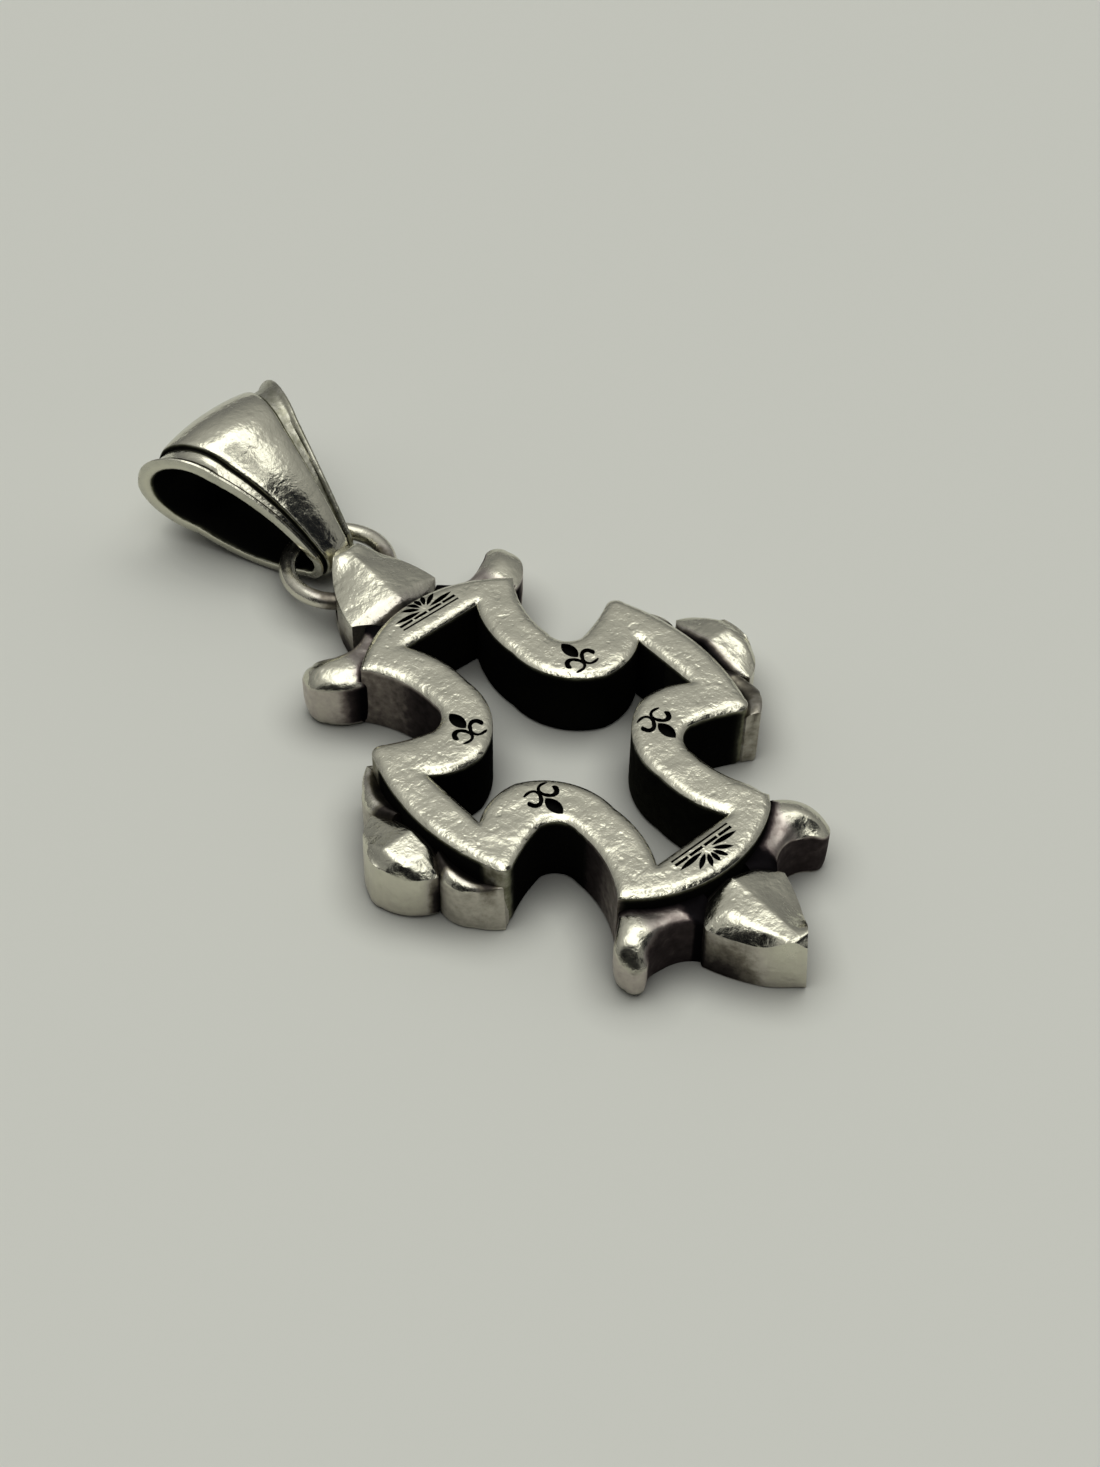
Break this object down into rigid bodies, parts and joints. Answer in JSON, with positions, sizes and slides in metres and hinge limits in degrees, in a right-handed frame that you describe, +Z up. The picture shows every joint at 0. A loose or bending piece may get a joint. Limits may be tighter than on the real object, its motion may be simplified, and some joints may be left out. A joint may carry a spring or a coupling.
{
  "type": "cross pendant",
  "caption": "Openwork silver cross pendant with fleur ends and sunk ornament, hung from a jump ring and a tapered bail.",
  "frame": {"origin": "under the middle of the whole lying pendant, on the surface it lies on", "axes": "+Y along the pendant from the foot to the bail, +Z up out of its front, +X to the right as seen from the front"},
  "size_m": [0.0352, 0.0682, 0.011],
  "materials": {
    "cross_silver": "satin sterling silver, worn bright on its rims and oxidised black in its recesses",
    "ring_silver": "polished sterling silver wire",
    "bail_silver": "polished sterling silver, dented and oxidised inside"
  },
  "bodies": {
    "root": {"cross": "cross_silver", "jump_ring": "ring_silver", "bail": "bail_silver"}
  },
  "joints": []
}
